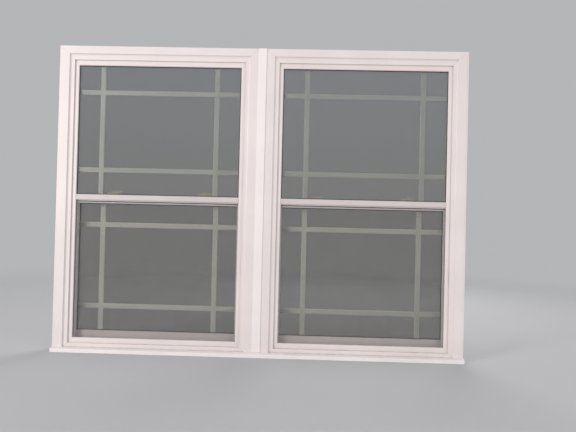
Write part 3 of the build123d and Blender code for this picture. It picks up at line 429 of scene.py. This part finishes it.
# %% Edge spacer
def spacer_finish():
    material, tree, shader, output = finish_of("edge_spacer")
    coordinates, x, y, z = place(tree)
    cells = add(tree, "ShaderNodeTexVoronoi", {"Vector": coordinates, "Scale": 260.0, "Randomness": 0.0})
    # The holes are painted darker than the strip: painted shade inside each hole.
    hole = soft_step(tree, cells.outputs["Distance"], 0.24, 0.16)
    tone = mix_colour(tree, hole, (0.055, 0.053, 0.05, 1), (0.012, 0.012, 0.012, 1))
    tree.links.new(tone, shader.inputs["Base Color"])
    tree.links.new(bump(tree, sum_up(tree, "SUBTRACT", 1.0, hole), 0.0003, 0.6), shader.inputs["Normal"])
    shader.inputs["Roughness"].default_value = 0.5
    return material


wear(spacer_finish(), *each_side("upper_spacer", "sash_spacer"))
print("with the spacers,", len(dressed), "nodes are dressed")

# %% [markdown]
# ## New pieces
# A helper turns a finished bmesh into a named object at the origin, gives it its finish and its material
# slot, and makes it ride on a body. The seals and the spline that run round a lite are mitred rings. Four
# straight bars would leave their ends inside each other, so the section is stood on the diagonal, spun four
# quarter turns into a square ring, and each corner is then slid to its place.


# %% New pieces
SAME_POINT = 1e-6


def in_scene(name, data):
    """A new object in the scene, at the origin."""
    made = bpy.data.objects.new(name, data)
    bpy.context.scene.collection.objects.link(made)
    return made


def mesh_of(name, shape):
    """A finished bmesh as a mesh."""
    mesh = bpy.data.meshes.new(name)
    shape.to_mesh(mesh)
    shape.free()
    return mesh


def piece(name, shape, material, body, smooth=False):
    """A new piece of the window, in its finish, on its body and with its material slot."""
    bmesh.ops.remove_doubles(shape, verts=shape.verts, dist=SAME_POINT)
    bmesh.ops.recalc_face_normals(shape, faces=shape.faces)
    made = in_scene(name, mesh_of(name, shape))
    for polygon in made.data.polygons:
        polygon.use_smooth = smooth
    made.data.materials.append(material)
    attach(made, body)
    return made


RING_START = 1.0


def mitred_ring(rect, depth, section):
    """A closed ring round a rectangle: its section is given as points outward and inward in depth."""
    x0, x1, z0, z1 = rect
    shape = bmesh.new()
    corner = [shape.verts.new((RING_START + out, depth + back, RING_START + out)) for out, back in section]
    edges = [shape.edges.new((corner[i - 1], corner[i])) for i in range(len(corner))]
    bmesh.ops.spin(shape, geom=corner + edges, cent=(0, 0, 0), axis=(0, 1, 0), angle=math.tau, steps=4,
                   use_merge=True)
    for vert in shape.verts:
        vert.co.x += x1 - RING_START if vert.co.x > 0 else x0 + RING_START
        vert.co.z += z1 - RING_START if vert.co.z > 0 else z0 + RING_START
    return shape


def round_section(out, back, radius, points=12):
    turns = [math.tau * step / points for step in range(points)]
    return [(out + radius * math.cos(turn), back + radius * math.sin(turn)) for turn in turns]


def add_box(shape, low, high):
    """A box between two corners, from bmesh's own cube."""
    made = bmesh.ops.create_cube(shape, size=1.0)["verts"]
    size = Vector(high) - Vector(low)
    centre = (Vector(high) + Vector(low)) / 2
    bmesh.ops.scale(shape, verts=made, vec=size)
    bmesh.ops.translate(shape, verts=made, vec=centre)
    return made


# %% [markdown]
# ## Insect mesh
# A half screen is woven from grey coated glass yarn, about 18 by 16 threads to the inch. The weave is far
# finer than a pixel, so it is tempting to paint it, but a real grid of threads casts its own shade and
# shows what is behind at every angle. Each thread is one long box, upright ones in front and level ones
# behind them, touching.

# %% Insect mesh
INCH = 0.0254
UPRIGHT_PITCH = INCH / 18
LEVEL_PITCH = INCH / 16
THREAD = 0.0002
mesh_thread = mottled("mesh_thread", (0.10, 0.095, 0.09), (0.17, 0.16, 0.15), 15.0, 3.0, 0.55)


def insect_mesh(side):
    low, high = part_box(f"{side}_screen_mesh")
    shape = bmesh.new()
    count = int((high.x - low.x) / UPRIGHT_PITCH)
    y_mid = (low.y + high.y) / 2
    for step in range(count):
        x = low.x + (step + 0.5) * (high.x - low.x) / count
        add_box(shape, (x - THREAD / 2, y_mid - THREAD, low.z), (x + THREAD / 2, y_mid, high.z))
    rows = int((high.z - low.z) / LEVEL_PITCH)
    for step in range(rows):
        z = low.z + (step + 0.5) * (high.z - low.z) / rows
        add_box(shape, (low.x, y_mid, z - THREAD / 2), (high.x, y_mid + THREAD, z + THREAD / 2))
    made = piece(f"{side}_insect_mesh", shape, mesh_thread, "fixed")
    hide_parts(f"{side}_screen_mesh")
    print(made.name, count, "by", rows, "threads")


for side in SIDES:
    insect_mesh(side)

# %% [markdown]
# ## Seals and spline
# A thin dark gasket runs round the outside of every lite, where the pane meets the vinyl. From outside it
# is the fine dark line that outlines the glass. The spline, a round rubber section, is rolled into the
# screen frame's groove and holds the mesh by its edge. Both are mitred rings: a low wedge for the gasket, a
# circle for the spline.

# %% Seals and spline
SEAL_WIDTH = 0.0030
SEAL_RISE = 0.0008
SPLINE_RADIUS = 0.0017
SPLINE_WIDTH = 0.0035
SPLINE_DEPTH = 0.0030
seal_rubber = mottled("seal_rubber", (0.022, 0.020, 0.019), (0.05, 0.045, 0.042), 25.0, 3.0, 0.62)


def glazing_seal(side, pane, body):
    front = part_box(f"{side}_{pane}")[0].y
    wedge = [(0, 0), (0, -SEAL_RISE), (-SEAL_WIDTH * 0.6, -SEAL_RISE * 0.75), (-SEAL_WIDTH, 0)]
    shape = mitred_ring(daylight(side, pane), front, wedge)
    made = piece(f"{side}_{pane}_seal", shape, seal_rubber, body)
    print(made.name, len(made.data.polygons), "faces")


def screen_spline(side):
    low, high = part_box(f"{side}_screen_mesh")
    centre = SPLINE_DEPTH - SPLINE_RADIUS
    section = round_section(SPLINE_WIDTH / 2, centre, SPLINE_RADIUS)
    shape = mitred_ring((low.x, high.x, low.z, high.z), low.y, section)
    made = piece(f"{side}_screen_spline", shape, seal_rubber, "fixed", smooth=True)
    print(made.name, len(made.data.polygons), "faces")


for side in SIDES:
    glazing_seal(side, "upper_outer_pane", "fixed")
    glazing_seal(side, "sash_outer_pane", f"{side}_sash_body")
    screen_spline(side)

# %% [markdown]
# ## Reading the separate solids of a node
# Several nodes hold a group of like solids, such as the screws of one sash. Their places could be written
# down again, but then they would stay behind when the window changes size. Walking from corner to corner
# along the edges gives each solid's own points, and its box follows from them.


# %% Reading the separate solids of a node
def islands(name):
    """The corner points of each separate solid in a node, in a fixed order."""
    shape = bmesh.new()
    shape.from_mesh(nodes[name].data)
    bmesh.ops.remove_doubles(shape, verts=shape.verts, dist=NEAR / 10)
    seen, found = set(), []
    for first in shape.verts:
        if first in seen:
            continue
        seen.add(first)
        points, waiting = [], [first]
        while waiting:
            vert = waiting.pop()
            points.append(vert.co.copy())
            for edge in vert.link_edges:
                other = edge.other_vert(vert)
                if other not in seen:
                    seen.add(other)
                    waiting.append(other)
        found.append(points)
    shape.free()
    return found


def corners_of(points):
    low = Vector([min(p[axis] for p in points) for axis in range(3)])
    high = Vector([max(p[axis] for p in points) for axis in range(3)])
    return low, high


print("solids in the sash screws:", len(islands("left_sash_screws")))

# %% [markdown]
# ## Screws
# Every screw is a zinc plated pan head with a cross recess and a rolled thread. The head is a short
# cylinder with a bevelled rim, and the recess is cut once, by a boolean with two crossed boxes, then shared
# by all heads. The thread is a small ridge spun about the axis while it moves along it, so that each turn
# meets the next. Each kind of screw is made once, and then turned and moved to every place where it is
# driven.

# %% Screws
HEAD_HEIGHT = 0.002
HEAD_POINTS = 24
THREAD_PITCH = 0.0013
THREAD_STEPS = 12
# These are shares of the head's radius and height, of the thread's radius, and of its root's radius.
RIM_BEVEL = 0.3
RECESS_REACH, RECESS_WIDTH, RECESS_DEPTH = 0.62, 0.24, 0.6
ROOT_SHARE = 0.78
CORE_SHARE = 0.97


def recessed_head():
    """A head of radius 1 and height 1 that stands on z = 0, with its recess cut in the top."""
    shape = bmesh.new()
    bmesh.ops.create_cone(shape, cap_ends=True, segments=HEAD_POINTS, radius1=1, radius2=1, depth=1)
    bmesh.ops.translate(shape, verts=shape.verts, vec=(0, 0, 0.5))
    rim = [e for e in shape.edges if all(v.co.z > 0.9 for v in e.verts)]
    bmesh.ops.bevel(shape, geom=rim, offset=RIM_BEVEL, segments=3, profile=0.5, affect="EDGES", material=-1)
    cross = bmesh.new()
    for along in ((RECESS_REACH, RECESS_WIDTH / 2), (RECESS_WIDTH / 2, RECESS_REACH)):
        add_box(cross, (-along[0], -along[1], 1 - RECESS_DEPTH), (along[0], along[1], 1.5))
    pair = [in_scene(name, mesh_of(name, source))
            for name, source in (("screw_head", shape), ("screw_cross", cross))]
    cut = pair[0].modifiers.new("recess", "BOOLEAN")
    cut.operation = "DIFFERENCE"
    cut.object = pair[1]
    cut.use_self = True
    bpy.context.view_layer.update()
    seen = pair[0].evaluated_get(bpy.context.evaluated_depsgraph_get())
    head = bpy.data.meshes.new_from_object(seen)
    for made in pair:
        bpy.data.objects.remove(made)
    return head


def screw_measures(points):
    """A screw's crown, its tip, and the radii of its head and shank, from its corner points."""
    low, high = corners_of(points)
    size, centre = high - low, (low + high) / 2
    axis = max(range(3), key=lambda i: size[i])

    def end_radius(level):
        ring = [p - centre for p in points if abs(p[axis] - level) < NEAR]
        return max(math.sqrt(p.length_squared - p[axis] ** 2) for p in ring)

    ends = sorted((low[axis], high[axis]), key=end_radius)
    tip, crown = centre.copy(), centre.copy()
    tip[axis], crown[axis] = ends
    return crown, tip, sorted(size)[1] / 2, end_radius(ends[0])


def add_thread(shape, length, radius):
    """A threaded shank below z = 0: a tapered core and a ridge spun along it."""
    root = radius * ROOT_SHARE
    core = root * CORE_SHARE
    shank = bmesh.ops.create_cone(shape, cap_ends=True, segments=THREAD_STEPS, radius1=core / 2,
                                  radius2=core, depth=length)["verts"]
    bmesh.ops.translate(shape, verts=shank, vec=(0, 0, -length / 2))
    turns = int(length / THREAD_PITCH) - 1
    ridge = [(root, 0), (radius, THREAD_PITCH / 2), (root, THREAD_PITCH)]
    corner = [shape.verts.new((out, 0, -length + up)) for out, up in ridge]
    edges = [shape.edges.new(pair) for pair in zip(corner, corner[1:] + corner[:1])]
    bmesh.ops.spin(shape, geom=corner + edges, cent=(0, 0, 0), axis=(0, 0, 1), angle=math.tau * turns,
                   dvec=(0, 0, THREAD_PITCH / THREAD_STEPS), steps=THREAD_STEPS * turns)
    bmesh.ops.holes_fill(shape, edges=[e for e in shape.edges if e.is_boundary], sides=len(ridge))


def whole_screw(head, length, head_radius, shank_radius):
    """A screw whose head stands on z = 0, with its thread below."""
    shape = bmesh.new()
    shape.from_mesh(head)
    bmesh.ops.scale(shape, verts=shape.verts, vec=(head_radius, head_radius, HEAD_HEIGHT))
    add_thread(shape, length - HEAD_HEIGHT, shank_radius)
    return mesh_of("screw_kind", shape)


def dress_screws(name, body, head):
    """Screws in place of a node's plain ones, each kind made once."""
    shape, kinds = bmesh.new(), {}
    groups = islands(name)
    for points in groups:
        crown, tip, head_radius, shank_radius = screw_measures(points)
        way = crown - tip
        kind = tuple(round(value, 5) for value in (way.length, head_radius, shank_radius))
        if kind not in kinds:
            kinds[kind] = whole_screw(head, *kind)
        before = len(shape.verts)
        shape.from_mesh(kinds[kind])
        shape.verts.ensure_lookup_table()
        turn = Vector((0, 0, 1)).rotation_difference(way).to_matrix().to_4x4()
        seat = crown - way.normalized() * HEAD_HEIGHT
        bmesh.ops.transform(shape, matrix=Matrix.Translation(seat) @ turn, verts=shape.verts[before:])
    made = piece(f"{name}_threaded", shape, zinc, body)
    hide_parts(name)
    print(made.name, len(groups), "screws,", len(made.data.polygons), "faces")


screw_head = recessed_head()
print("recess cut into a head of", len(screw_head.polygons), "faces")
dress_screws("frame_screws", "fixed", screw_head)
for side in SIDES:
    dress_screws(f"{side}_sash_screws", f"{side}_sash_body", screw_head)

# %% [markdown]
# ## Weatherstrip
# Two kinds seal the sash. Pile is a dense brush on a woven backing, and a soft bulb lies under the bottom
# rail. The pile is one grid, extruded to a thin slab, whose front points are pulled out to uneven heights,
# every other one less. That reads as bristles at a fraction of the faces that single hairs would take. The
# bulb is a domed profile, extruded.

# %% Weatherstrip
BRISTLE_STEP = 0.0011
PILE_ROWS = 6
# These are shares of the brush's depth: the shortest bristle, what is added at random, and the hollows' cut.
SHORTEST, SPREAD, HOLLOW = 0.7, 0.3, 0.45
BACKING = 0.0003
BULB_FOOT = 0.0005
BULB_POINTS = 9
SCATTER_I, SCATTER_J, SCATTER = 12.9898, 78.233, 43758.5453
pile_fibre = mottled("pile_fibre", (0.07, 0.068, 0.065), (0.24, 0.235, 0.225), 1400.0, 2.0, 0.95, 0.3)


def uneven(i, j):
    """A number from 0 to 1 that looks random, from two counts."""
    return math.sin(i * SCATTER_I + j * SCATTER_J) * SCATTER % 1


def add_pile(shape, low, high):
    """A brush on its backing, whose bristles stand toward the sash along +Y."""
    size = high - low
    upright = size.z > size.x
    rows = int(max(size.x, size.z) / BRISTLE_STEP)
    segments = (PILE_ROWS, rows) if upright else (rows, PILE_ROWS)
    before = len(shape.faces)
    back = bmesh.ops.create_grid(shape, x_segments=segments[0], y_segments=segments[1], size=0.5)["verts"]
    shape.faces.ensure_lookup_table()
    slab = bmesh.ops.extrude_face_region(shape, geom=shape.faces[before:])["geom"]
    front = [v for v in slab if isinstance(v, bmesh.types.BMVert)]
    for vert in front:
        i, j = round((vert.co.x + 0.5) * segments[0]), round((vert.co.y + 0.5) * segments[1])
        edge = i in (0, segments[0]) or j in (0, segments[1])
        reach = 0.0 if edge else (SHORTEST + SPREAD * uneven(i, j)) * (1.0 if (i + j) % 2 else HOLLOW)
        vert.co.z = BACKING + (size.y - BACKING) * reach
    for vert in back + front:
        u, v, rise = vert.co.x + 0.5, vert.co.y + 0.5, vert.co.z
        vert.co = (low.x + u * size.x, low.y + rise, low.z + v * size.z)


def add_bulb(shape, low, high):
    """A dome on a flat foot, extruded along X."""
    middle_y, base = (low.y + high.y) / 2, low.z + BULB_FOOT
    radius = high.z - base
    turns = [math.pi * step / (BULB_POINTS - 1) for step in range(BULB_POINTS)]
    dome = [(middle_y + radius * math.cos(turn), base + radius * math.sin(turn)) for turn in turns]
    outline = [(low.y, low.z), (high.y, low.z), (high.y, base), *dome, (low.y, base)]
    face = shape.faces.new([shape.verts.new((low.x, y, z)) for y, z in outline])
    far = bmesh.ops.extrude_face_region(shape, geom=[face])["geom"]
    moved = [v for v in far if isinstance(v, bmesh.types.BMVert)]
    bmesh.ops.translate(shape, verts=moved, vec=(high.x - low.x, 0, 0))


def weatherstrip(side):
    name = f"{side}_weatherstrip"
    boxes = [corners_of(points) for points in islands(name)]
    lowest = min(low.z for low, high in boxes)
    brush, bulb = bmesh.new(), bmesh.new()
    for low, high in boxes:
        if low.z == lowest:
            add_bulb(bulb, low, high)
        else:
            add_pile(brush, low, high)
    made = piece(f"{side}_pile", brush, pile_fibre, "fixed")
    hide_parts(name)
    print(made.name, len(boxes) - 1, "strips,", len(made.data.polygons), "faces")
    print(piece(f"{side}_bulb_seal", bulb, seal_rubber, "fixed").name, "under the sash")


for side in SIDES:
    weatherstrip(side)

# %% [markdown]
# ## Floor, world and lamps
# The window stands on a plain pale floor that fades into the world's colour, so no horizon shows through
# the glass. The world is a soft overcast dome. One large lamp on the left and a weaker one on the right
# stand well back, so that head and sill are lit alike, and far enough aside that the panes don't mirror
# them. They give the mouldings their shading, and a third lamp lights the room side.

# %% Floor, world and lamps
ROOM_SIDE = (0.46, 0.465, 0.475)
STREET_SIDE = (0.53, 0.51, 0.505)
SKY = (0.64, 0.67, 0.76)
FLOOR_TONE = (0.54, 0.535, 0.53)
FLOOR_RADIUS = 6.0
FLOOR_POINTS = 96
FLOOR_DROP = 0.0005
LAMPS_FACE = Vector((0, 0, 0.6))


def floor():
    shape = bmesh.new()
    bmesh.ops.create_circle(shape, cap_ends=True, segments=FLOOR_POINTS, radius=FLOOR_RADIUS)
    made = in_scene("floor", mesh_of("floor", shape))
    material, tree, shader, output = finish_of("floor_paint")
    coordinates, x, y, z = place(tree)
    reach = add(tree, "ShaderNodeVectorMath", {0: coordinates}, operation="LENGTH").outputs["Value"]
    fade = soft_step(tree, reach, 1.0, FLOOR_RADIUS * 0.8)
    shader.inputs["Base Color"].default_value = (*FLOOR_TONE, 1)
    shader.inputs["Roughness"].default_value = 0.9
    shader.inputs["Specular IOR Level"].default_value = 0.1
    clear = add(tree, "ShaderNodeBsdfTransparent")
    both = add(tree, "ShaderNodeMixShader", {0: fade, 1: shader.outputs[0], 2: clear.outputs[0]})
    tree.links.new(both.outputs[0], output.inputs["Surface"])
    made.data.materials.append(material)
    made.location.z = -FLOOR_DROP


def world():
    made = bpy.data.worlds.new("overcast")
    made.use_nodes = True
    tree = made.node_tree
    tree.nodes.clear()
    ray = add(tree, "ShaderNodeTexCoord").outputs["Generated"]
    split = add(tree, "ShaderNodeSeparateXYZ", {"Vector": ray})
    room = soft_step(tree, split.outputs["Y"], -0.4, 0.5)
    around = mix_colour(tree, room, (*STREET_SIDE, 1), (*ROOM_SIDE, 1))
    street = sum_up(tree, "SUBTRACT", 1.0, room)
    sky = sum_up(tree, "MULTIPLY", soft_step(tree, split.outputs["Z"], 0.0, 0.25), street)
    tone = mix_colour(tree, sky, around, (*SKY, 1))
    back = add(tree, "ShaderNodeBackground", {"Color": tone, "Strength": 1.0})
    output = add(tree, "ShaderNodeOutputWorld")
    tree.links.new(back.outputs[0], output.inputs["Surface"])
    bpy.context.scene.world = made


def lamp(name, at, size, power, colour):
    data = bpy.data.lights.new(name, "AREA")
    data.shape = "DISK"
    data.size = size
    data.energy = power
    data.color = colour
    made = in_scene(name, data)
    made.location = at
    made.rotation_euler = (LAMPS_FACE - Vector(at)).to_track_quat("-Z", "Y").to_euler()
    made.visible_camera = False
    made.visible_transmission = False


floor()
world()
lamp("key_lamp", (-3.8, -3.8, 1.6), 2.0, 150, (1.0, 0.97, 0.94))
lamp("fill_lamp", (3.5, -3.4, 0.9), 2.4, 44, (1.0, 0.98, 0.97))
lamp("room_lamp", (0.8, 2.4, 2.2), 2.0, 40, (1.0, 0.98, 0.95))
print("three lamps, floor of radius", FLOOR_RADIUS)

# %% [markdown]
# ## Camera
# The picture was taken from in front, a little to the right of the middle and at about half the window's
# height, with the camera rolled slightly. Its place and angles were solved from the edges of the frame.

# %% Camera
IMAGE_WIDTH = 576
FOCAL_PIXELS = 560.0
SENSOR_WIDTH = 36.0
CAMERA_AT = (0.1675, -2.1925, 0.5275)
YAW, PITCH, ROLL = math.radians(1.399), math.radians(0.683), math.radians(-1.376)


def camera():
    data = bpy.data.cameras.new("camera")
    data.sensor_width = SENSOR_WIDTH
    data.lens = SENSOR_WIDTH * FOCAL_PIXELS / IMAGE_WIDTH
    made = in_scene("camera", data)
    turn = Matrix.Rotation(YAW, 4, "Z") @ Matrix.Rotation(PITCH, 4, "X") @ Matrix.Rotation(ROLL, 4, "Y")
    made.matrix_world = Matrix.Translation(CAMERA_AT) @ turn @ Matrix.Rotation(math.pi / 2, 4, "X")
    bpy.context.scene.camera = made
    bpy.context.scene.view_settings.view_transform = "Standard"
    print("camera at", CAMERA_AT, "lens", round(data.lens, 2))


camera()
